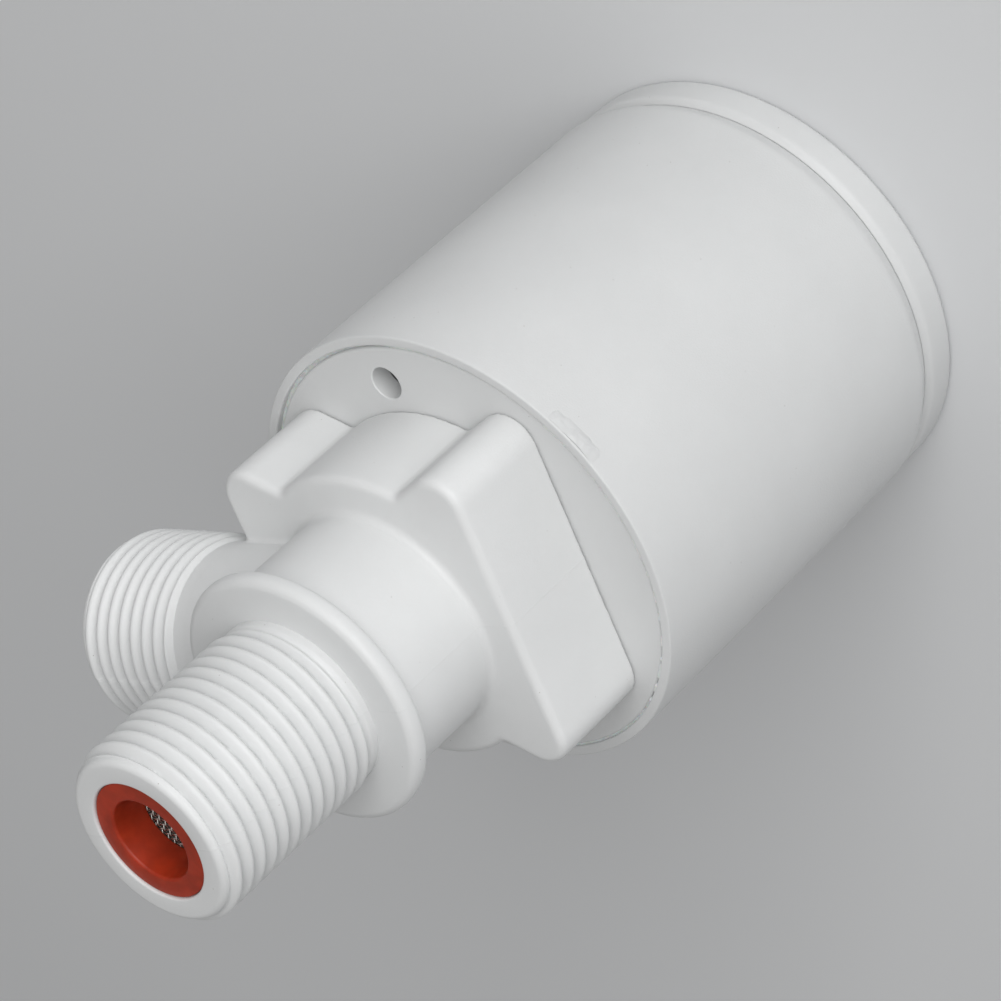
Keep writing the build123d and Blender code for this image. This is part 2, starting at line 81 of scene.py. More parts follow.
MM = 0.001
FLOOR_SIZE = 6.0
CAD_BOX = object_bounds()
MOUTH_Z, OUTLET_X = CAD_BOX[1].z, CAD_BOX[1].x
PLATE_LOW, PLATE_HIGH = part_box("top_plate")
HOUSING_LOW, HOUSING_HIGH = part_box("float_housing")
CAP_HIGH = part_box("bottom_cap")[1]
SEAL_LOW, SEAL_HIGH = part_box("inlet_seal")
MESH_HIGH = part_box("strainer_mesh")[1]
WEB_LOW, WEB_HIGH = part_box("diaphragm")
SPRING_LOW, SPRING_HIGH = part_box("diaphragm_spring")


# ---------------------------------------------------------------- sizes and colours
def linear(hex_colour):
    """Linear colour of an sRGB hex value."""
    channels = [int(hex_colour[i : i + 2], 16) / 255 for i in (1, 3, 5)]
    return [c / 12.92 if c <= 0.04045 else ((c + 0.055) / 1.055) ** 2.4 for c in channels]


def length(name, millimetres, description):
    """A length setting with its default in millimetres."""
    return FloatProperty(
        name=name, description=description, default=millimetres * MM, min=0, unit="LENGTH", precision=5
    )


def colour(name, hex_colour, description):
    """A colour setting with its default as an sRGB hex value."""
    return FloatVectorProperty(
        name=name, description=description, default=linear(hex_colour), subtype="COLOR", size=3, min=0, max=1
    )


def angle(name, degrees_value, description):
    """An angle setting with its default in degrees."""
    return FloatProperty(name=name, description=description, default=radians(degrees_value), subtype="ANGLE")


class BodySizes(PropertyGroup):
    """Sizes of the body moulding."""

    block_height: length("Block height", 12.9, "Height of the eared block on the plate")
    block_r: length("Block radius", 17.35, "Radius of the round stretch between two ears")
    ear_centre: length("Ear centre", 13.9, "Distance from each middle plane to an ear's centre")
    ear_r: length("Ear radius", 3.5, "Radius of an ear")
    root_r: length("Ear root radius", 1.2, "Radius that an ear's web narrows to")
    root_angle: angle("Ear root angle", 31.5, "Angle from the Y axis to an ear's root")
    notch_r: length("Notch radius", 1.3, "Rounding where a web meets the round stretch")
    edge_r: length("Edge rounding", 0.9, "Rounding of the block's top edge")
    seam: length("Seam", 0.11, "Dark gap between the block and the plate")
    barrel_r: length("Barrel radius", 13.0, "Radius between block and collar")
    barrel_height: length("Barrel height", 12.7, "Height between block and collar")
    barrel_cove: length("Barrel cove", 0.8, "Fillet at the foot of the barrel")
    collar_r: length("Collar radius", 14.9, "Radius of the collar")
    collar_thickness: length("Collar thickness", 2.4, "Thickness of the collar")
    collar_round: length("Collar rounding", 0.95, "Rounding of the collar's two edges")
    neck_r: length("Neck radius", 9.7, "Radius of the side outlet's neck")
    outlet_rise: length("Outlet rise", 4.1, "Height of the outlet's axis above the block")
    voxel: length("Voxel", 0.22, "Grid of the remesh that blends the body's shapes")


class BoreSizes(PropertyGroup):
    """Sizes of the hollow inside the body."""

    pocket_r: length("Pocket radius", 7.0, "Radius of the pocket for seal and strainer")
    pocket_depth: length("Pocket depth", 6.4, "Depth of the pocket")
    inlet_r: length("Inlet bore", 5.2, "Radius of the inlet's bore")
    tube_r: length("Inner tube radius", 7.2, "Outer radius of the tube that carries the seat")
    annulus_r: length("Annulus radius", 10.4, "Radius of the space round the inner tube")
    chamber_r: length("Chamber radius", 12.4, "Radius of the space over the diaphragm")
    chamber_height: length("Chamber height", 6.2, "Height of the space over the diaphragm")
    seat_rise: length("Seat rise", 4.7, "Height of the valve seat above the plate")
    outlet_r: length("Outlet bore", 7.3, "Radius of the side outlet's bore")


class ThreadSizes(PropertyGroup):
    """Sizes of the two pipe threads."""

    crest_r: length("Crest radius", 10.4775, "Radius over the ridges")
    pitch: length("Pitch", 1.814, "Distance from ridge to ridge")
    depth: length("Depth", 1.162, "Height of a ridge")
    nose_proud: length("Nose height", 0.42, "Height of the mouth's plain nose over the thread's root")
    nose_round: length("Nose rounding", 0.75, "Rounding of the mouth's outer edge")
    lip_round: length("Lip rounding", 0.25, "Rounding of the mouth's inner edge")
    shank_r: length("Shank radius", 10.15, "Radius between the inlet thread and the collar")
    inlet_turns: IntProperty(name="Inlet turns", description="Ridges on the inlet", default=12, min=1)
    outlet_turns: IntProperty(name="Outlet turns", description="Ridges on the outlet", default=8, min=1)
    mismatch: length("Mould mismatch", 0.15, "Step where the mould halves meet on the outlet")


class HousingSizes(PropertyGroup):
    """Sizes of plate, housing and bottom cap."""

    bore_r: length("Housing bore", 24.6, "Inner radius of the housing")
    seat_r: length("Plate seat", 25.4, "Inner radius of the rim round the plate")
    rim_round: length("Rim rounding", 0.22, "Rounding of the rim's outer edge")
    valley_r: length("Valley radius", 25.6, "Radius of the groove between housing and cap")
    shoulder: length("Shoulder height", 1.9, "Height over which the housing curves in to the groove")
    shoulder_round: length("Shoulder rounding", 2.5, "Rounding of the shoulder")
    cap_r: length("Cap radius", 26.25, "Outer radius of the cap")
    cap_height: length("Cap height", 4.7, "Height of the cap's rim")
    cap_round: length("Cap rounding", 0.95, "Rounding of the cap's edges")
    cap_floor: length("Cap floor", 2.2, "Thickness of the cap's floor")
    hole_r: length("Water hole radius", 1.8, "Radius of the holes in the cap")
    rib_width: length("Rib width", 1.5, "Width of the ribs in housing and cap")
    plate_thickness: length("Plate thickness", 2.6, "Thickness of the plate's flange")
    cup_outer_r: length("Pilot cup outside", 14.6, "Outer radius of the cup under the plate")
    cup_r: length("Pilot cup", 11.0, "Inner radius of the cup under the plate")
    cup_floor: length("Pilot cup floor", 2.0, "Thickness of the cup's floor")
    nozzle_r: length("Nozzle hole", 2.05, "Radius of the hole for the pilot nozzle")
    nozzle_seat_r: length("Nozzle seat", 3.15, "Radius of the recess for the nozzle's flange")
    plate_shift: length("Plate shift", 0.16, "How far the plate sits off the housing's axis")
    vent_r: length("Vent radius", 1.9, "Radius of the vent hole in the plate")
    vent_centre: length("Vent centre", 20.8, "Distance from the main axis to the vent hole")
    vent_turn: angle("Vent turn", 2.4, "Turn of the vent hole from the -Y side")


class SmallPartSizes(PropertyGroup):
    """Sizes of seal, strainer, diaphragm and spring."""

    seal_mouth_r: length("Seal mouth", 4.75, "Radius of the seal's bore at the mouth")
    seal_throat_r: length("Seal throat", 4.4, "Radius of the seal's bore at its far end")
    seal_round: length("Seal rounding", 0.35, "Rounding of the seal's inner edge")
    wire_d: length("Mesh wire", 0.22, "Diameter of the strainer's wires")
    wire_pitch: length("Mesh pitch", 0.58, "Distance from wire to wire")
    spring_wire_r: length("Spring wire radius", 0.35, "Radius of the closing spring's wire")
    spring_turns: FloatProperty(name="Spring turns", description="Turns of the spring", default=4.0, min=1)


class FinishColours(PropertyGroup):
    """Colours of the finishes."""

    nylon: colour("White nylon", "#E8E9E9", "Body, collar and spigots")
    # The shell white is the nylon white made darker. It is painted shade on the housing, plate and cap.
    shell: colour("White shell", "#E0E1E1", "Housing, plate and cap")
    silicone: colour("Red silicone", "#B3381B", "Inlet seal")
    steel: colour("Stainless steel", "#B9B7B2", "Strainer, screws, pins and spring")
    rubber: colour("Nitrile rubber", "#26262A", "Diaphragm, pad and O-ring")
    acetal: colour("Acetal", "#DAD9D3", "Strainer frame, lever, bracket and guide")
    brass: colour("Brass", "#C9A25B", "Pilot nozzle")
    polypropylene: colour("Polypropylene", "#DDE0E0", "Float")
    adhesive: colour("Adhesive", "#F1F1EE", "Cured adhesive in the rim")
    floor: colour("Floor", "#E4E5E6", "Studio floor")


class StudioSettings(PropertyGroup):
    """Camera and light."""

    target: FloatVectorProperty(
        name="Target",
        description="Point the camera looks at",
        default=(-0.00193, -0.00265, 0.04883),
        subtype="XYZ",
        unit="LENGTH",
    )
    azimuth: angle("Azimuth", 210.352, "Direction of the camera, from +X")
    elevation: angle("Elevation", 35.781, "Height of the camera above the floor plane")
    roll: angle("Roll", 132.564, "Turn of the camera about its line of sight")
    distance: length("Distance", 433.5, "Camera to target")
    lens: FloatProperty(name="Lens", description="Focal length in mm", default=147.73, subtype="DISTANCE_CAMERA")
    key: FloatProperty(name="Key light", description="Power of the side softbox", default=4.15, subtype="POWER")
    top: FloatProperty(name="Top light", description="Power of the top softbox", default=1.25, subtype="POWER")
    fill: FloatProperty(name="Fill", description="Strength of the room's even light", default=0.22, min=0)


# ---------------------------------------------------------------- mesh helpers
def mesh_piece(name, points, faces, sharp=35):
    """Object from points in metres, smooth but for edges sharper than the given angle."""
    mesh = bpy.data.meshes.new(name)
    mesh.from_pydata([tuple(p) for p in points], [], faces)
    piece = bpy.data.objects.new(name, mesh)
    bpy.context.scene.collection.objects.link(piece)
    smooth(piece, sharp)
    return piece


def smooth(piece, sharp):
    """Faces outward and shaded smooth, with edges over the given angle left sharp."""
    work = bmesh.new()
    work.from_mesh(piece.data)
    bmesh.ops.recalc_face_normals(work, faces=work.faces)
    work.to_mesh(piece.data)
    work.free()
    piece.data.shade_smooth()
    piece.data.set_sharp_from_angle(angle=radians(sharp))


def rounded(outline, steps=6):
    """Outline in which each corner with a third number becomes an arc of that radius."""
    points = []
    for i, corner in enumerate(outline):
        here = Vector(corner[:2])
        if len(corner) == 2:
            points.append(here)
            continue
        before = (Vector(outline[i - 1][:2]) - here).normalized()
        after = (Vector(outline[(i + 1) % len(outline)][:2]) - here).normalized()
        half = before.angle(after) / 2
        centre = here + (before + after).normalized() * corner[2] / sin(half)
        start = here + before * corner[2] / tan(half) - centre
        end = here + after * corner[2] / tan(half) - centre
        sweep = pi - 2 * half
        for step in range(steps + 1):
            t = step / steps
            points.append(centre + (start * sin((1 - t) * sweep) + end * sin(t * sweep)) / sin(sweep))
    return points


def grid_faces(rows, columns, wrap_rows):
    """Quads of a grid whose columns wrap round, and its rows too if asked."""
    faces = []
    for row in range(rows if wrap_rows else rows - 1):
        for column in range(columns):
            a, b = row * columns, (row + 1) % rows * columns
            across = (column + 1) % columns
            faces.append((a + column, a + across, b + across, b + column))
    return faces


def lathe(name, outline, segments=192, sharp=35):
    """Solid of revolution about Z from (radius, height) corners, which run once round the section."""
    points, faces, rings = [], [], []
    for radius, height in rounded(outline):
        if radius < 1e-7:
            rings.append([len(points)])
            points.append((0, 0, height))
            continue
        rings.append(list(range(len(points), len(points) + segments)))
        for i in range(segments):
            turn = 2 * pi * i / segments
            points.append((radius * cos(turn), radius * sin(turn), height))
    for here, there in zip(rings, rings[1:] + rings[:1]):
        if len(here) == len(there) == 1:
            continue
        for i in range(segments):
            j = (i + 1) % segments
            corners = [here[i % len(here)], here[j % len(here)], there[j % len(there)], there[i % len(there)]]
            faces.append(tuple(dict.fromkeys(corners)))
    return mesh_piece(name, points, faces, sharp)


def rod_between(name, start, end, radius, segments=96):
    """Round bar between two points, used for bores and holes."""
    along = end - start
    turn = along.to_track_quat("Z", "Y").to_matrix()
    bar = lathe(name, [(0, 0), (radius, 0), (radius, along.length), (0, along.length)], segments)
    bar.data.transform(Matrix.Translation(start) @ turn.to_4x4())
    return bar


def applied(piece):
    """Turns the piece's modifiers into its mesh."""
    graph = bpy.context.evaluated_depsgraph_get()
    mesh = bpy.data.meshes.new_from_object(piece.evaluated_get(graph))
    piece.modifiers.clear()
    piece.data = mesh


def combine(piece, others, operation):
    """Joins other shapes to a piece, or cuts them out of it, and removes them."""
    for other in others:
        step = piece.modifiers.new("combine", "BOOLEAN")
        step.operation, step.object, step.solver = operation, other, "EXACT"
    applied(piece)
    for other in others:
        bpy.data.objects.remove(other)


def joined(piece, others):
    """One mesh from several closed ones."""
    work = bmesh.new()
    for part in [piece, *others]:
        work.from_mesh(part.data)
    work.to_mesh(piece.data)
    work.free()
    for other in others:
        bpy.data.objects.remove(other)
    return piece


def tube_mesh(paths, radius, sides):
    """Points and faces of round wires along paths of points."""
    points, faces = [], []
    for path in paths:
        first = len(points)
        for i, point in enumerate(path):
            along = (path[min(i + 1, len(path) - 1)] - path[max(i - 1, 0)]).normalized()
            side = along.cross(Vector((0, 0, 1))).normalized()
            up = side.cross(along)
            for k in range(sides):
                a = 2 * pi * k / sides
                points.append(point + radius * (cos(a) * side + sin(a) * up))
        faces += [tuple(first + v for v in face) for face in grid_faces(len(path), sides, False)]
        faces.append(tuple(range(first, first + sides)))
        faces.append(tuple(range(len(points) - sides, len(points))))
    return points, faces


def ease(low, high, value):
    """Smooth step from 0 at low to 1 at high."""
    t = min(max((value - low) / (high - low), 0), 1)
    return t * t * (3 - 2 * t)


def dress(piece, body, slot, material, *nodes):
    """Rides a piece on its body, if one is given, stands it for its CAD nodes and gives it its material."""
    if body:
        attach(piece, body)
    if nodes:
        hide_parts(*nodes)
    piece.data.materials.clear()
    piece.data.materials.append(material)


# ---------------------------------------------------------------- material helpers
def add(tree, kind, settings=None, links=None):
    """Adds a node, sets its values and links other nodes' outputs into it."""
    node = tree.nodes.new(kind)
    for key, value in (settings or {}).items():
        if isinstance(key, int) or key in node.inputs:
            node.inputs[key].default_value = value
        else:
            setattr(node, key, value)
    for key, output in (links or {}).items():
        tree.links.new(output, node.inputs[key])
    return node


def once(name):
    """Decorator: a material is built the first time it is asked for, and is the same one after that."""

    def wrap(build):
        def get(colours):
            return bpy.data.materials.get(name) or build(name, colours)

        return get

    return wrap


def new_material(name, colour_value, settings):
    """Material with a principled shader, and its tree, shader and object coordinates."""
    material = bpy.data.materials.new(name)
    material.use_nodes = True
    material.diffuse_color = (*colour_value, 1)
    tree = material.node_tree
    shader = tree.nodes["Principled BSDF"]
    shader.inputs["Base Color"].default_value = (*colour_value, 1)
    for key, value in settings.items():
        shader.inputs[key].default_value = value
    place = add(tree, "ShaderNodeTexCoord").outputs["Object"]
    return material, tree, shader, place


def shade(colour_value, factor):
    """A darker or lighter tone of a colour."""
    return (*[min(c * factor, 1) for c in colour_value], 1)


def cloudy(tree, place, size, colour_value, factor, shader):
    """Soft colour variation of a given size between a colour and a tone of it."""
    cloud = add(tree, "ShaderNodeTexNoise", {"Scale": 1 / size, "Detail": 3.0}, {"Vector": place})
    ramp = add(tree, "ShaderNodeMapRange", {"From Min": 0.35, "From Max": 0.65}, {"Value": cloud.outputs["Fac"]})
    tones = add(
        tree,
        "ShaderNodeMix",
        {"data_type": "RGBA", 6: shade(colour_value, 1), 7: shade(colour_value, factor)},
        {"Factor": ramp.outputs["Result"]},
    )
    tree.links.new(tones.outputs[2], shader.inputs["Base Color"])
    return tones


def plain_finish(name, colour_value, settings, cloud, tone, grain, detail, strength, height):
    """Finish with faint clouds of tone and one fine relief; cloud, grain and height are in mm."""
    material, tree, shader, place = new_material(name, colour_value, settings)
    cloudy(tree, place, cloud * MM, colour_value, tone, shader)
    relief = add(tree, "ShaderNodeTexNoise", {"Scale": 1 / (grain * MM), "Detail": detail}, {"Vector": place})
    depth = {"Strength": strength, "Distance": height * MM}
    bump = add(tree, "ShaderNodeBump", depth, {"Height": relief.outputs["Fac"]})
    tree.links.new(bump.outputs["Normal"], shader.inputs["Normal"])
    return material


def white_moulding(name, colour_value, parting):
    """White moulded plastic."""
    # Injection moulded in a lightly eroded steel mould: satin, very even, with soft glints.
    # IOR 1.53 is nylon's. Light sinks in about a millimetre, which softens the edges.
    material, tree, shader, place = new_material(
        name,
        colour_value,
        {
            "Roughness": 0.46,
            "IOR": 1.53,
            "Subsurface Weight": 0.12,
            "Subsurface Scale": 0.8 * MM,
            "Subsurface Radius": (1, 1, 1),
        },
    )
    tones = cloudy(tree, place, 14 * MM, colour_value, 0.965, shader)

    # Burnt specks in the plastic, about 0.15 mm across, one to some 80 square millimetres.
    specks = add(tree, "ShaderNodeTexVoronoi", {"Scale": 1 / (2.3 * MM), "Randomness": 1.0}, {"Vector": place})
    near = add(
        tree,
        "ShaderNodeMapRange",
        {"From Min": 0.034, "From Max": 0.020, "To Max": 0.4},
        {"Value": specks.outputs["Distance"]},
    )
    spotted = add(
        tree,
        "ShaderNodeMix",
        {"data_type": "RGBA", 7: (*linear("#6B5B45"), 1)},
        {"Factor": near.outputs["Result"], 6: tones.outputs[2]},
    )
    tree.links.new(spotted.outputs[2], shader.inputs["Base Color"])

    # The mould's grain is near 0.05 mm and is drawn at 0.22 mm so that it shows.
    grain = add(tree, "ShaderNodeTexNoise", {"Scale": 1 / (0.22 * MM), "Detail": 2.0}, {"Vector": place})
    fine = add(tree, "ShaderNodeBump", {"Strength": 0.4, "Distance": 0.05 * MM}, {"Height": grain.outputs["Fac"]})
    # Shrinkage leaves the walls faintly uneven over about 9 mm.
    sink = add(tree, "ShaderNodeTexNoise", {"Scale": 1 / (9 * MM), "Detail": 1.0}, {"Vector": place})
    uneven = add(
        tree,
        "ShaderNodeBump",
        {"Strength": 0.25, "Distance": 0.12 * MM},
        {"Height": sink.outputs["Fac"], "Normal": fine.outputs["Normal"]},
    )
    last = uneven
    if parting:
        # The mould halves meet in the middle plane and leave a raised line 0.2 mm wide at its foot.
        axes = add(tree, "ShaderNodeSeparateXYZ", links={"Vector": place})
        off_plane = add(tree, "ShaderNodeMath", {"operation": "ABSOLUTE"}, {0: axes.outputs["Y"]})
        line = add(
            tree,
            "ShaderNodeMapRange",
            {"From Min": 0.1 * MM, "From Max": 0.03 * MM},
            {"Value": off_plane.outputs["Value"]},
        )
        last = add(
            tree,
            "ShaderNodeBump",
            {"Strength": 0.35, "Distance": 0.04 * MM},
            {"Height": line.outputs["Result"], "Normal": uneven.outputs["Normal"]},
        )
    tree.links.new(last.outputs["Normal"], shader.inputs["Normal"])

    # Rubbed and polished patches change the sheen a little.
    patch = add(tree, "ShaderNodeTexNoise", {"Scale": 1 / (3 * MM), "Detail": 4.0}, {"Vector": place})
    sheen = add(tree, "ShaderNodeMapRange", {"To Min": 0.4, "To Max": 0.54}, {"Value": patch.outputs["Fac"]})
    tree.links.new(sheen.outputs["Result"], shader.inputs["Roughness"])
    return material


@once("moulded_white_nylon")
def moulded_nylon(name, colours):
    """Body moulding."""
    return white_moulding(name, colours.nylon, True)


@once("moulded_white_painted_shade")
def painted_shade_moulding(name, colours):
    """Housing, plate and cap, in the darker shell white, which is painted shade."""
    return white_moulding(name, colours.shell, False)


@once("moulded_red_silicone")
def moulded_silicone(name, colours):
    """Red seal."""
    # Compression moulded silicone: waxy, lit from within, so thin walls glow and the rest looks deep.
    # Release powder leaves a bloom in grains of about 0.1 mm, drawn at 0.2 mm.
    settings = {"Roughness": 0.42, "IOR": 1.42, "Subsurface Weight": 0.3, "Subsurface Scale": 1.2 * MM}
    return plain_finish(name, colours.silicone, settings, 2.5, 0.72, 0.2, 3.0, 0.2, 0.03)


@once("drawn_stainless_steel")
def drawn_steel(name, colours):
    """Stainless wire, pins and screws."""
    # Drawn stainless wire: bright, with fine lines along the drawing and thin highlights.
    material, tree, shader, place = new_material(
        name, colours.steel, {"Metallic": 1.0, "Roughness": 0.27}
    )
    # Die lines are near 0.02 mm apart and are drawn at 0.1 mm.
    lines = add(tree, "ShaderNodeTexNoise", {"Scale": 1 / (0.1 * MM), "Detail": 2.0}, {"Vector": place})
    dull = add(tree, "ShaderNodeMapRange", {"To Min": 0.2, "To Max": 0.38}, {"Value": lines.outputs["Fac"]})
    tree.links.new(dull.outputs["Result"], shader.inputs["Roughness"])
    return material


@once("moulded_nitrile_rubber")
def moulded_rubber(name, colours):
    """Diaphragm, pilot pad and O-ring."""
    # Moulded nitrile rubber: near black, dull, with a faint grey bloom.
    # The mould's matt finish is near 0.05 mm and is drawn at 0.15 mm.
    settings = {"Roughness": 0.62, "IOR": 1.52}
    return plain_finish(name, colours.rubber, settings, 1.5, 1.6, 0.15, 2.0, 0.3, 0.03)


@once("moulded_acetal")
def moulded_acetal(name, colours):
    """Strainer frame, lever, bracket, guide and float rod."""
    # Moulded acetal: cooler and slicker than nylon, opaque, with a waxy gloss.
    settings = {"Roughness": 0.33, "IOR": 1.48}
    return plain_finish(name, colours.acetal, settings, 3, 0.94, 0.4, 3.0, 0.12, 0.03)


@once("turned_brass")
def turned_brass(name, colours):
    """Pilot nozzle."""
    # Turned brass: warm metal with rings from the tool.
    material, tree, shader, place = new_material(name, colours.brass, {"Metallic": 1.0, "Roughness": 0.28})
    # The tool's feed is near 0.05 mm and is drawn at 0.12 mm.
    feed = add(
        tree,
        "ShaderNodeTexWave",
        {"bands_direction": "Z", "Scale": 1 / (0.12 * MM) / 20, "Distortion": 0.3},
        {"Vector": place},
    )
    bump = add(tree, "ShaderNodeBump", {"Strength": 0.25, "Distance": 0.01 * MM}, {"Height": feed.outputs["Fac"]})
    tree.links.new(bump.outputs["Normal"], shader.inputs["Normal"])
    return material


@once("moulded_polypropylene")
def moulded_polypropylene(name, colours):
    """Float shell, lid and nut."""
    # Moulded polypropylene: slightly translucent and milky, with flow marks.
    settings = {"Roughness": 0.4, "IOR": 1.49, "Subsurface Weight": 0.2, "Subsurface Scale": 1.5 * MM}
    return plain_finish(name, colours.polypropylene, settings, 6, 0.93, 0.6, 3.0, 0.15, 0.03)


@once("cured_adhesive")
def cured_adhesive(name, colours):
    """Adhesive in the rim."""
    # Cured clear-white adhesive: glossy where it flowed, crumbly where it was wiped.
    settings = {"Roughness": 0.3, "IOR": 1.5, "Subsurface Weight": 0.25, "Subsurface Scale": 0.6 * MM}
    return plain_finish(name, colours.adhesive, settings, 0.8, 0.86, 0.3, 4.0, 0.4, 0.06)


@once("matt_studio_paper")
def studio_paper(name, colours):
    """Floor of the studio."""
    # Matt background paper: no gloss, a barely visible tooth.
    settings = {"Roughness": 0.9, "IOR": 1.45}
    return plain_finish(name, colours.floor, settings, 60, 0.99, 0.8, 2.0, 0.05, 0.05)


# ---------------------------------------------------------------- body
def block_quarter(sizes, inset, steps=12):
    """Outline of the block from +X to +Y, moved inwards by inset."""
    ear = Vector((sizes.ear_centre, sizes.ear_centre))
    ear_r, round_r, notch_r = sizes.ear_r - inset, sizes.block_r - inset, sizes.notch_r + inset
    root_reach = sizes.block_r - sizes.root_r
    root = root_reach * Vector((sin(sizes.root_angle), cos(sizes.root_angle)))
    across = root - ear
    web = atan2(across.y, across.x) % (2 * pi) - acos((sizes.ear_r - sizes.root_r) / across.length)
    normal = Vector((cos(web), sin(web)))
    off = normal.dot(ear) + ear_r + notch_r
    reach = round_r + notch_r
    centre = normal * off + Vector((normal.y, -normal.x)) * sqrt(reach**2 - off**2)
    start, end = atan2(-normal.y, -normal.x), atan2(-centre.y, -centre.x)
    points = [Vector((sizes.ear_centre + ear_r, 0))]
    points += [ear + ear_r * Vector((cos(web * i / steps), sin(web * i / steps))) for i in range(steps + 1)]
    for i in range(1, steps + 1):
        turn = start + (end - start) * i / steps
        points.append(centre + notch_r * Vector((cos(turn), sin(turn))))
    last = atan2(centre.y, centre.x)
    for i in range(1, steps + 1):
        turn = last + (pi / 2 - last) * i / steps
        points.append(round_r * Vector((cos(turn), sin(turn))))
    return points


def block_outline(sizes, inset):
    """Whole outline of the block, moved inwards by inset."""
    quarter = block_quarter(sizes, inset)
    half = quarter + [Vector((-p.x, p.y)) for p in reversed(quarter[:-1])]
    return half[:-1] + [Vector((p.x, -p.y)) for p in reversed(half[1:])]


def eared_block(sizes, low, high):
    """Block with four ears and a rounded top edge."""
    levels = [(0, low)]
    steps = 7
    for i in range(steps + 1):
        turn = pi / 2 * i / steps
        levels.append((sizes.edge_r * (1 - cos(turn)), high - sizes.edge_r * (1 - sin(turn))))
    points, count = [], 0
    for inset, height in levels:
        outline = block_outline(sizes, inset)
        count = len(outline)
        points += [(p.x, p.y, height) for p in outline]
    faces = grid_faces(len(levels), count, False)
    faces += [tuple(range(count)), tuple(range(len(points) - count, len(points)))]
    return mesh_piece("eared_block", points, faces)


def body_hollow(sizes, bores):
    """Space inside the body: chamber, annulus round the inner tube, inlet bore and outlet bore."""
    low, seat = PLATE_HIGH.z, PLATE_HIGH.z + bores.seat_rise
    block_top = low + sizes.block_height
    annulus_top = block_top + sizes.barrel_height - 0.5 * MM
    collar_top = block_top + sizes.barrel_height + sizes.collar_thickness
    slope_top = low + bores.chamber_height + 2 * MM
    outline = [
        (0, low - MM),
        (bores.chamber_r, low - MM),
        (bores.chamber_r, low + bores.chamber_height),
        (bores.annulus_r, slope_top),
        (bores.annulus_r, annulus_top),
        (bores.tube_r, annulus_top),
        (bores.tube_r, seat + MM),
        (bores.inlet_r + MM, seat),
        (bores.inlet_r, seat),
        (bores.inlet_r, collar_top + MM),
        (0, collar_top + MM),
    ]
    chamber = lathe("chamber", outline, 128)
    axis = block_top + sizes.outlet_rise
    outlet = rod_between(
        "outlet_bore",
        Vector((bores.tube_r + 0.1 * MM, 0, axis)),
        Vector((OUTLET_X, 0, axis)),
        bores.outlet_r,
    )
    return [chamber, outlet]


def body_core(sizes, bores, threads):
    """Block, barrel, collar and neck, blended into one moulding."""
    low = PLATE_HIGH.z
    block_top = low + sizes.block_height
    collar_low = block_top + sizes.barrel_height
    collar_top = collar_low + sizes.collar_thickness
    skirt_r = sizes.block_r - sizes.edge_r
    outline = [
        (0, block_top - sizes.edge_r),
        (skirt_r - 0.3 * MM, block_top - sizes.edge_r),
        (skirt_r - 0.3 * MM, block_top - 0.01 * MM),
        (sizes.barrel_r, block_top - 0.01 * MM, sizes.barrel_cove),
        (sizes.barrel_r, collar_low),
        (sizes.collar_r, collar_low, sizes.collar_round),
        (sizes.collar_r, collar_top, sizes.collar_round),
        (0, collar_top),
    ]
    core = lathe("body_moulding", outline)
    block = eared_block(sizes, low + sizes.seam, block_top)
    axis = block_top + sizes.outlet_rise
    neck_end = OUTLET_X - threads.outlet_turns * threads.pitch - 0.5 * MM
    neck = rod_between("neck", Vector((0, 0, axis)), Vector((neck_end, 0, axis)), sizes.neck_r, 128)
    combine(core, [block, neck], "UNION")
    combine(core, body_hollow(sizes, bores), "DIFFERENCE")
    blend = core.modifiers.new("blend", "REMESH")
    blend.mode, blend.voxel_size, blend.use_smooth_shade = "VOXEL", sizes.voxel, True
    soften = core.modifiers.new("soften", "SMOOTH")
    soften.factor, soften.iterations = 0.5, 4
    applied(core)
    for point in core.data.vertices:
        ragged = 1 - ease(low, low + 0.5 * MM, point.co.z)
        point.co.z += ragged * noise.noise(point.co * 900) * 0.1 * MM
    smooth(core, 60)
    return core


def threaded_tube(name, threads, turns, reach, end_r, inner, mismatch, segments=216):
    """Tube with its mouth at z = 0, reaching down, with a helical thread. inner gives the wall inside."""
    root_r = threads.crest_r - threads.depth
    nose_r = root_r + threads.nose_proud
    last = MM + turns * threads.pitch

    def outside(depth, turn):
        if depth < threads.nose_round:
            dip = threads.nose_round - depth
            return nose_r - threads.nose_round + sqrt(threads.nose_round**2 - dip**2)
        side = mismatch if sin(turn) > 0 else 0
        phase = ((depth - side) / threads.pitch - turn / (2 * pi)) % 1
        ridge = 1 - (2 * phase - 1) ** 2
        fade = ease(0.5 * MM, 1.3 * MM, depth) * (1 - ease(last - 1.1 * MM, last, depth))
        floor_r = root_r + (end_r - root_r) * ease(last - 0.9 * MM, last + 0.2 * MM, depth)
        floor_r += threads.nose_proud * (1 - ease(threads.nose_round, threads.nose_round + 0.3 * MM, depth))
        top_r = max(threads.crest_r, end_r)
        return floor_r + (top_r - floor_r) * fade * ridge

    lip = threads.lip_round
    rows = list(inner)
    mouth_r = inner[-1][0]
    rows += [(mouth_r + lip * (1 - cos(pi / 2 * i / 5)), lip * (1 - sin(pi / 2 * i / 5))) for i in range(6)]
    rows += [(None, threads.nose_round * (1 - cos(pi / 2 * i / 8))) for i in range(9)]
    step = threads.pitch / 18
    count = ceil((reach - threads.nose_round) / step)
    rows += [(None, threads.nose_round + (reach - threads.nose_round) * i / count) for i in range(1, count + 1)]
    points = []
    for radius, depth in rows:
        for i in range(segments):
            turn = 2 * pi * (i + 0.5) / segments
            r = outside(depth, turn) if radius is None else radius
            points.append((r * cos(turn), r * sin(turn), -depth))
    return mesh_piece(name, points, grid_faces(len(rows), segments, True), 70)


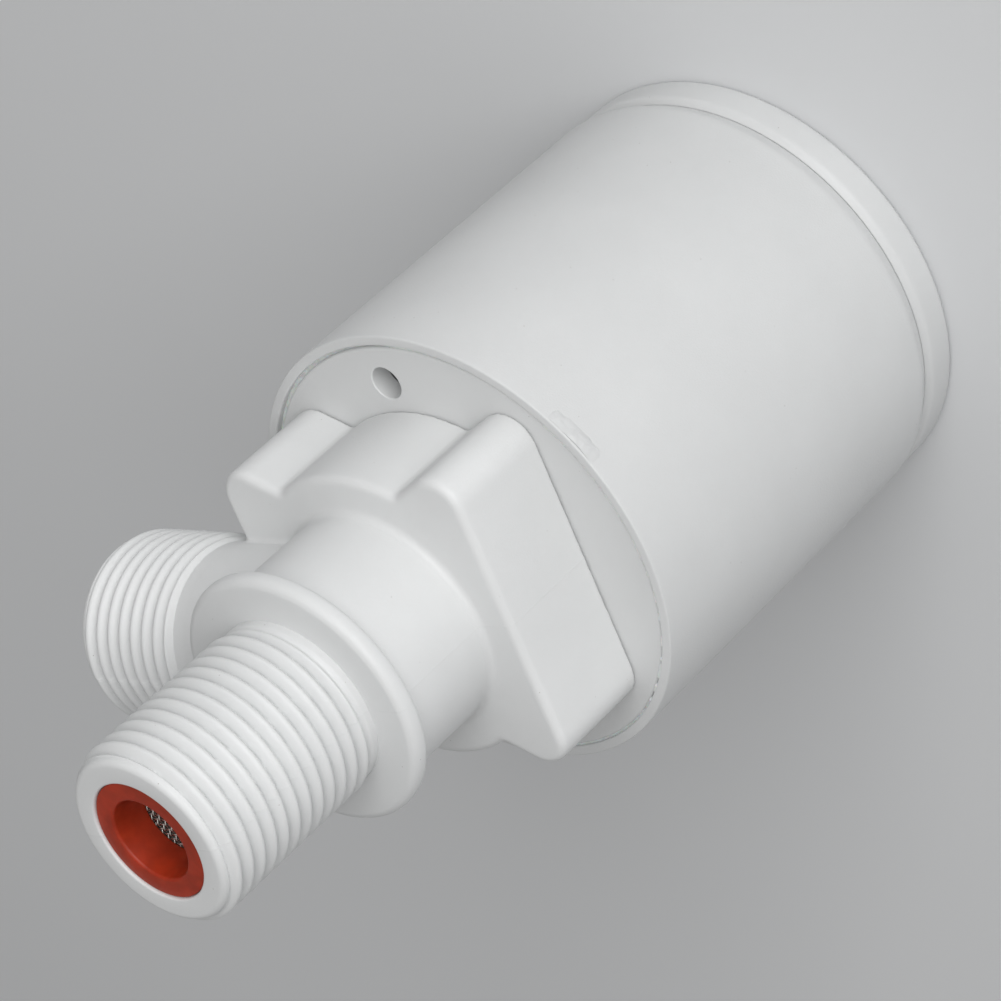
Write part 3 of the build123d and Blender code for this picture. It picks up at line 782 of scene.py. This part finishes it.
def inlet_thread(sizes, bores, threads):
    """Inlet spigot above the collar."""
    collar_top = PLATE_HIGH.z + sizes.block_height + sizes.barrel_height + sizes.collar_thickness
    reach = MOUTH_Z - collar_top + 0.4 * MM
    inner = [
        (bores.inlet_r, reach),
        (bores.inlet_r, bores.pocket_depth),
        (bores.pocket_r, bores.pocket_depth),
        (bores.pocket_r, threads.lip_round * 1.5),
    ]
    tube = threaded_tube("inlet_thread", threads, threads.inlet_turns, reach, threads.shank_r, inner, 0)
    tube.data.transform(Matrix.Translation((0, 0, MOUTH_Z)))
    return tube


def outlet_thread(sizes, bores, threads):
    """Outlet spigot beyond the neck."""
    axis = PLATE_HIGH.z + sizes.block_height + sizes.outlet_rise
    reach = threads.outlet_turns * threads.pitch + 2.4 * MM
    inner = [(bores.outlet_r, reach), (bores.outlet_r, threads.lip_round * 1.5)]
    turns, step = threads.outlet_turns, threads.mismatch
    tube = threaded_tube("outlet_thread", threads, turns, reach, sizes.neck_r, inner, step)
    tube.data.transform(Matrix.Translation((OUTLET_X, 0, axis)) @ Matrix.Rotation(pi / 2, 4, "Y"))
    return tube


class FLOATVALVE_OT_body(Operator):
    """Body moulding with its two threaded spigots"""

    bl_idname = "float_valve.body"
    bl_label = "Body"

    def execute(self, context):
        settings = context.scene.float_valve
        sizes, bores, threads = settings.body, settings.bores, settings.threads
        nylon = moulded_nylon(settings.colours)
        core = body_core(sizes, bores, threads)
        dress(core, "body", "white_nylon", nylon, "valve_body")
        dress(inlet_thread(sizes, bores, threads), "body", "white_nylon", nylon, "inlet_spigot")
        dress(outlet_thread(sizes, bores, threads), "body", "white_nylon", nylon, "outlet_spigot")
        return {"FINISHED"}


# ---------------------------------------------------------------- seal and strainer
def seal_ring(sizes):
    """Red seal, with a rounded front edge and a slightly tapered bore."""
    outer = SEAL_HIGH.x
    outline = [
        (sizes.seal_throat_r, SEAL_LOW.z),
        (outer, SEAL_LOW.z),
        (outer, SEAL_HIGH.z, 0.15 * MM),
        (sizes.seal_mouth_r, SEAL_HIGH.z, sizes.seal_round),
    ]
    return lathe("seal_ring", outline, 128)


def woven_mesh(sizes):
    """Plain woven wire cloth, cut round."""
    pitch, radius = sizes.wire_pitch, sizes.wire_d / 2
    cloth_r = MESH_HIGH.x - radius
    middle = MESH_HIGH.z - 2 * radius
    reach = int(cloth_r / pitch)
    paths = []
    for i in range(-reach, reach + 1):
        across = (i + 0.5) * pitch
        if abs(across) >= cloth_r:
            continue
        half = sqrt(cloth_r**2 - across**2)
        count = max(int(2 * half / pitch * 6), 2)
        for family in (0, 1):
            path = []
            for k in range(count + 1):
                along = -half + 2 * half * k / count
                wave = radius * sin(pi * along / pitch) * (1 if (i + family) % 2 else -1)
                spot = (along, across) if family == 0 else (across, along)
                path.append(Vector((*spot, middle + wave)))
            paths.append(path)
    return mesh_piece("woven_mesh", *tube_mesh(paths, radius, 8), 60)


class FLOATVALVE_OT_seal(Operator):
    """Inlet seal and woven strainer"""

    bl_idname = "float_valve.seal"
    bl_label = "Seal and strainer"

    def execute(self, context):
        settings = context.scene.float_valve
        sizes, colours = settings.small, settings.colours
        dress(seal_ring(sizes), "body", "red_silicone", moulded_silicone(colours), "inlet_seal")
        dress(woven_mesh(sizes), "body", "stainless_steel", drawn_steel(colours), "strainer_mesh")
        return {"FINISHED"}


# ---------------------------------------------------------------- plate, housing and cap
def plate_offset(sizes):
    """Where the plate's middle sits."""
    return Vector((-0.37, 0.93, 0)) * sizes.plate_shift


def cover_plate(sizes):
    """Round plate with the pilot chamber below it and the vent hole."""
    flange_low, floor_top = PLATE_HIGH.z - sizes.plate_thickness, PLATE_LOW.z + sizes.cup_floor
    outline = [
        (sizes.nozzle_r, PLATE_LOW.z),
        (sizes.cup_outer_r, PLATE_LOW.z, 0.8 * MM),
        (sizes.cup_outer_r, flange_low),
        (PLATE_HIGH.x, flange_low),
        (PLATE_HIGH.x, PLATE_HIGH.z, 0.35 * MM),
        (sizes.cup_r, PLATE_HIGH.z),
        (sizes.cup_r, floor_top),
        (sizes.nozzle_seat_r, floor_top),
        (sizes.nozzle_seat_r, floor_top - 0.6 * MM),
        (sizes.nozzle_r, floor_top - 0.6 * MM),
    ]
    plate = lathe("cover_plate", outline)
    low, high = PLATE_LOW.z, PLATE_HIGH.z + MM
    vent = sizes.vent_centre * Vector((sin(sizes.vent_turn), -cos(sizes.vent_turn), 0))
    outline = [
        (0, low),
        (sizes.vent_r, low),
        (sizes.vent_r, PLATE_HIGH.z - 0.1 * MM),
        (sizes.vent_r + 0.12 * MM, PLATE_HIGH.z + 0.02 * MM),
        (sizes.vent_r + 0.12 * MM, high),
        (0, high),
    ]
    cutter = lathe("vent", outline, 64)
    cutter.data.transform(Matrix.Translation(vent))
    combine(plate, [cutter], "DIFFERENCE")
    plate.data.transform(Matrix.Translation(plate_offset(sizes)))
    smooth(plate, 35)
    return plate


def adhesive_bead(sizes):
    """Adhesive in the gap between plate and rim, uneven and cracked on one side."""
    segments = 540
    offset = plate_offset(sizes)
    points = []
    for i in range(segments):
        turn = 2 * pi * i / segments
        way = Vector((cos(turn), sin(turn), 0))
        inner_r = PLATE_HIGH.x + way.dot(offset) - 0.05 * MM
        outer_r = sizes.seat_r + 0.05 * MM
        rough = noise.noise(way * 24) * 0.5 + noise.noise(way * 90) * 0.5
        glued = ease(radians(124), radians(138), turn) * (1 - ease(radians(216), radians(230), turn))
        open_gap = ease(radians(262), radians(275), turn)
        crack = glued * (0.75 if noise.noise(way * 13 + Vector((0, 0, 4))) > 0.08 and rough > -0.2 else 0)
        sunk = 0.18 + 0.14 * rough - 0.3 * glued + crack + 0.4 * open_gap
        top = PLATE_HIGH.z - sunk * MM
        low = PLATE_HIGH.z - 1.9 * MM
        points += [inner_r * way + Vector((0, 0, low)), outer_r * way + Vector((0, 0, low))]
        points += [outer_r * way + Vector((0, 0, top + 0.06 * MM)), inner_r * way + Vector((0, 0, top - 0.04 * MM))]
    faces = []
    for i in range(segments):
        a, b = 4 * i, 4 * ((i + 1) % segments)
        faces += [(a + k, b + k, b + (k + 1) % 4, a + (k + 1) % 4) for k in range(4)]
    return mesh_piece("adhesive_bead", points, faces, 50)


def rim_scar(sizes):
    """Thin lumpy scar on the rim's outer edge, where the housing was welded and trimmed."""
    start, end = radians(203), radians(221)
    low, high = HOUSING_HIGH.z - 2.6 * MM, HOUSING_HIGH.z - 0.2 * MM
    columns, rows = 90, 26
    outside, inside = [], []
    for row in range(rows + 1):
        for column in range(columns + 1):
            u, v = column / columns, row / rows
            turn, height = start + (end - start) * u, low + (high - low) * v
            fringe = ease(0, 0.75, v - 0.25 * noise.noise(Vector((u * 7, 0, 8))))
            edge = min(ease(0, 0.35, u), ease(0, 0.25, 1 - u)) * fringe
            lumps = noise.noise(Vector((u * 5, v * 1.5, 2.3)))
            lumps += 0.35 * noise.noise(Vector((u * 14, v * 4, 5.1)))
            proud = (0.3 * edge * (0.75 + 0.7 * lumps) - 0.06) * MM
            for points, r in ((outside, HOUSING_HIGH.x + proud), (inside, HOUSING_HIGH.x - 0.5 * MM)):
                points.append(Vector((r * cos(turn), r * sin(turn), height)))
    across, total = columns + 1, len(outside)
    faces = []
    for row in range(rows):
        for column in range(columns):
            a = row * across + column
            quad = (a, a + 1, a + 1 + across, a + across)
            faces += [quad, tuple(total + v for v in reversed(quad))]
    edge = list(range(columns)) + [columns + r * across for r in range(rows)]
    edge += [rows * across + columns - c for c in range(columns)] + [(rows - r) * across for r in range(rows)]
    for a, b in zip(edge, edge[1:] + edge[:1]):
        faces.append((a, total + a, total + b, b))
    return mesh_piece("rim_scar", outside + inside, faces, 60)


def rib(start, end, width, low, high, turn):
    """Upright rib from one radius to another, with rounded edges."""
    half = width / 2
    corners = ((start, -half), (end, -half), (end, half), (start, half))
    points = [(x, y, z) for z in (low, high) for x, y in corners]
    faces = [(0, 1, 2, 3), (4, 5, 6, 7), (0, 1, 5, 4), (1, 2, 6, 5), (2, 3, 7, 6), (3, 0, 4, 7)]
    piece = mesh_piece("rib", points, faces)
    edge = piece.modifiers.new("edge", "BEVEL")
    edge.width, edge.segments = 0.2 * MM, 2
    applied(piece)
    piece.data.transform(Matrix.Rotation(turn, 4, "Z"))
    return piece


def housing_shell(sizes):
    """Housing with its rim, shoulder and inner guide ribs."""
    outer, low, high = HOUSING_HIGH.x, HOUSING_LOW.z, HOUSING_HIGH.z
    ledge = PLATE_HIGH.z - sizes.plate_thickness
    outline = [
        (sizes.bore_r, low + 0.06 * MM),
        (sizes.valley_r, low + 0.06 * MM, 0.25 * MM),
        (outer, low + sizes.shoulder, sizes.shoulder_round),
        (outer, high, sizes.rim_round),
        (sizes.seat_r, high, 0.2 * MM),
        (sizes.seat_r, ledge),
        (sizes.bore_r, ledge),
    ]
    shell = lathe("housing_shell", outline, 256)
    ribs = []
    for i in range(6):
        ribs.append(rib(23 * MM, 25.5 * MM, sizes.rib_width, 10.2 * MM, 50.2 * MM, radians(30 + 60 * i)))
    smooth(joined(shell, ribs), 35)
    return shell


def cap_shell(sizes):
    """Bottom cap with its spigot, rest ribs and water holes."""
    outer, floor_top, height = sizes.cap_r, sizes.cap_floor, sizes.cap_height
    spigot_r, inner_r = sizes.bore_r - 0.05 * MM, sizes.bore_r - 1.65 * MM
    outline = [
        (0, 0),
        (outer, 0, sizes.cap_round),
        (outer, height - (outer - sizes.valley_r), sizes.cap_round),
        (sizes.valley_r, height - 0.06 * MM),
        (spigot_r, height - 0.06 * MM),
        (spigot_r, CAP_HIGH.z),
        (inner_r, CAP_HIGH.z),
        (inner_r, floor_top),
        (0, floor_top),
    ]
    cap = lathe("cap_shell", outline, 256)
    rib_low, rib_high = floor_top - 0.3 * MM, floor_top + 2.1 * MM
    ribs = [
        rib(3 * MM, inner_r - 0.4 * MM, sizes.rib_width, rib_low, rib_high, radians(120 * i)) for i in range(3)
    ]
    combine(cap, ribs, "UNION")
    places = [(18 * MM, radians(15 + 30 * i)) for i in range(12)]
    places += [(9 * MM, radians(30 + 60 * i)) for i in range(6)]
    holes = []
    for reach, turn in places:
        flare = 0.35 * MM
        outline = [
            (0, -MM),
            (sizes.hole_r + flare, -MM),
            (sizes.hole_r + flare, -0.01 * MM),
            (sizes.hole_r, flare),
            (sizes.hole_r, floor_top + 3 * MM),
            (0, floor_top + 3 * MM),
        ]
        hole = lathe("hole", outline, 40)
        hole.data.transform(Matrix.Translation((reach * cos(turn), reach * sin(turn), 0)))
        holes.append(hole)
    combine(cap, [joined(holes[0], holes[1:])], "DIFFERENCE")
    smooth(cap, 35)
    return cap


class FLOATVALVE_OT_housing(Operator):
    """Plate, housing, bottom cap and the adhesive in the rim"""

    bl_idname = "float_valve.housing"
    bl_label = "Housing"

    def execute(self, context):
        settings = context.scene.float_valve
        # shell is the darker shell white: painted shade on the plate, housing and cap.
        sizes, shell = settings.housing, painted_shade_moulding(settings.colours)
        dress(cover_plate(sizes), "body", "white_nylon", shell, "top_plate")
        dress(housing_shell(sizes), "body", "white_nylon", shell, "float_housing")
        dress(cap_shell(sizes), "body", "white_nylon", shell, "bottom_cap")
        glue = cured_adhesive(settings.colours)
        dress(adhesive_bead(sizes), "body", "adhesive", glue, "rim_adhesive")
        dress(rim_scar(sizes), "body", "white_nylon", shell)
        return {"FINISHED"}


# ---------------------------------------------------------------- diaphragm and spring
def diaphragm_skin():
    """Diaphragm: clamped bead, thin web and thick middle."""
    low, high = WEB_LOW.z, WEB_HIGH.z
    outline = [
        (1.55 * MM, high - 1.7 * MM),
        (8.2 * MM, high - 1.7 * MM, 0.4 * MM),
        (10 * MM, high - 2.1 * MM),
        (11.7 * MM, low + 0.05 * MM, 0.3 * MM),
        (WEB_HIGH.x, low),
        (WEB_HIGH.x, low + 2 * MM, 0.3 * MM),
        (12.8 * MM, low + 2 * MM, 0.3 * MM),
        (12.1 * MM, low + 1.1 * MM, 0.3 * MM),
        (10.4 * MM, high - 1.0 * MM, 0.3 * MM),
        (8.2 * MM, high, 0.4 * MM),
        (1.55 * MM, high),
    ]
    return lathe("diaphragm_skin", outline, 128)


def closing_spring(sizes):
    """Closing spring with closed ends."""
    radius = sizes.spring_wire_r
    coil_r = SPRING_HIGH.x - radius
    low, high = SPRING_LOW.z + radius, SPRING_HIGH.z - radius
    count = int(sizes.spring_turns * 48)
    path = []
    for i in range(count + 1):
        t = i / count
        turn = 2 * pi * sizes.spring_turns * t
        height = low + (high - low) * ease(-0.12, 1.12, t)
        path.append(Vector((coil_r * cos(turn), coil_r * sin(turn), height)))
    return mesh_piece("closing_spring", *tube_mesh([path], radius, 12), 60)


class FLOATVALVE_OT_diaphragm(Operator):
    """Rubber diaphragm and its closing spring"""

    bl_idname = "float_valve.diaphragm"
    bl_label = "Diaphragm"

    def execute(self, context):
        settings = context.scene.float_valve
        skin = diaphragm_skin()
        dress(skin, None, "black_rubber", moulded_rubber(settings.colours), "diaphragm")
        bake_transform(skin)
        spring = closing_spring(settings.small)
        dress(spring, "body", "stainless_steel", drawn_steel(settings.colours), "diaphragm_spring")
        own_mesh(spring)
        return {"FINISHED"}


# ---------------------------------------------------------------- inner pieces
class FLOATVALVE_OT_inside(Operator):
    """Finishes of the pieces inside, which keep their CAD shapes"""

    bl_idname = "float_valve.inside"
    bl_label = "Inner pieces"

    def execute(self, context):
        colours = context.scene.float_valve.colours
        finishes = {
            moulded_acetal: (
                "strainer_frame",
                "diaphragm_guide",
                "diaphragm_backing",
                "lever_bracket",
                "pilot_lever",
                "float_rod",
            ),
            moulded_polypropylene: ("rod_nut", "float_cup", "float_lid"),
            turned_brass: ("pilot_nozzle",),
            moulded_rubber: ("nozzle_seal", "pilot_pad"),
            drawn_steel: ("cover_screws", "bracket_screws", "lever_pin", "link_pin"),
        }
        for finish, names in finishes.items():
            for name in names:
                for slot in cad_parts[name].material_slots:
                    slot.material = finish(colours)
        return {"FINISHED"}


# ---------------------------------------------------------------- stage
def softbox(name, way, distance, size, power, target):
    """Large square light that faces the target from a direction."""
    lamp = bpy.data.lights.new(name, "AREA")
    lamp.shape, lamp.size, lamp.energy = "SQUARE", size, power
    light = bpy.data.objects.new(name, lamp)
    bpy.context.scene.collection.objects.link(light)
    light.location = target + way.normalized() * distance
    light.rotation_euler = (-way).to_track_quat("-Z", "Y").to_euler()
    return light


class FLOATVALVE_OT_studio(Operator):
    """Floor, soft light and camera"""

    bl_idname = "float_valve.studio"
    bl_label = "Studio"

    def execute(self, context):
        scene = context.scene
        settings = scene.float_valve.studio
        target = Vector(settings.target)
        half = FLOOR_SIZE / 2
        corners = [(-half, -half, 0), (half, -half, 0), (half, half, 0), (-half, half, 0)]
        paper = mesh_piece("studio_floor", corners, [(0, 1, 2, 3)])
        paper.location.z = CAD_BOX[0].z - 0.02 * MM
        paper.data.materials.append(studio_paper(scene.float_valve.colours))

        softbox("side_softbox", Vector((-0.72, -0.52, 0.44)), 0.75, 0.7, settings.key, target)
        softbox("top_softbox", Vector((-0.25, -0.15, 0.95)), 0.8, 0.9, settings.top, target)
        world = bpy.data.worlds.new("studio_room")
        world.use_nodes = True
        room = world.node_tree.nodes["Background"]
        room.inputs["Color"].default_value = (1, 1, 1, 1)
        room.inputs["Strength"].default_value = settings.fill
        scene.world = world
        scene.view_settings.view_transform = "Standard"

        lens = bpy.data.cameras.new("camera")
        lens.lens, lens.sensor_width = settings.lens, 36
        lens.clip_start = 0.01
        camera = bpy.data.objects.new("camera", lens)
        scene.collection.objects.link(camera)
        flat = cos(settings.elevation)
        way = Vector((flat * cos(settings.azimuth), flat * sin(settings.azimuth), sin(settings.elevation)))
        camera.location = target + way * settings.distance
        level = (-way).to_track_quat("-Z", "Y")
        camera.rotation_euler = (Quaternion(-way, settings.roll) @ level).to_euler()
        scene.camera = camera
        return {"FINISHED"}


# ---------------------------------------------------------------- settings, panel and registration
class ValveSettings(PropertyGroup):
    """All settings of the float valve."""

    body: PointerProperty(type=BodySizes)
    bores: PointerProperty(type=BoreSizes)
    threads: PointerProperty(type=ThreadSizes)
    housing: PointerProperty(type=HousingSizes)
    small: PointerProperty(type=SmallPartSizes)
    colours: PointerProperty(type=FinishColours)
    studio: PointerProperty(type=StudioSettings)


OPERATORS = (
    FLOATVALVE_OT_body,
    FLOATVALVE_OT_seal,
    FLOATVALVE_OT_housing,
    FLOATVALVE_OT_diaphragm,
    FLOATVALVE_OT_inside,
    FLOATVALVE_OT_studio,
)


class FLOATVALVE_PT_panel(Panel):
    """Lists the pieces to build and their settings"""

    bl_idname = "FLOATVALVE_PT_panel"
    bl_label = "Float Valve"
    bl_space_type = "VIEW_3D"
    bl_region_type = "UI"
    bl_category = "Float Valve"

    def draw(self, context):
        layout = self.layout
        for operator in OPERATORS:
            layout.operator(operator.bl_idname)
        settings = context.scene.float_valve
        for group_name in ("body", "bores", "threads", "housing", "small", "colours", "studio"):
            group = getattr(settings, group_name)
            box = layout.box()
            box.label(text=group_name.capitalize())
            for key in group.__annotations__:
                box.prop(group, key)


CLASSES = (
    BodySizes,
    BoreSizes,
    ThreadSizes,
    HousingSizes,
    SmallPartSizes,
    FinishColours,
    StudioSettings,
    ValveSettings,
    *OPERATORS,
    FLOATVALVE_PT_panel,
)


def register():
    """Registers the classes and hangs the settings on the scene."""
    for item in CLASSES:
        bpy.utils.register_class(item)
    bpy.types.Scene.float_valve = PointerProperty(type=ValveSettings)


def unregister():
    """Takes the settings and classes away again."""
    del bpy.types.Scene.float_valve
    for item in reversed(CLASSES):
        bpy.utils.unregister_class(item)


def main():
    """Builds every piece and the stage."""
    register()
    bpy.ops.float_valve.body()
    bpy.ops.float_valve.seal()
    bpy.ops.float_valve.housing()
    bpy.ops.float_valve.diaphragm()
    bpy.ops.float_valve.inside()
    bpy.ops.float_valve.studio()


if __name__ == "__main__":
    main()
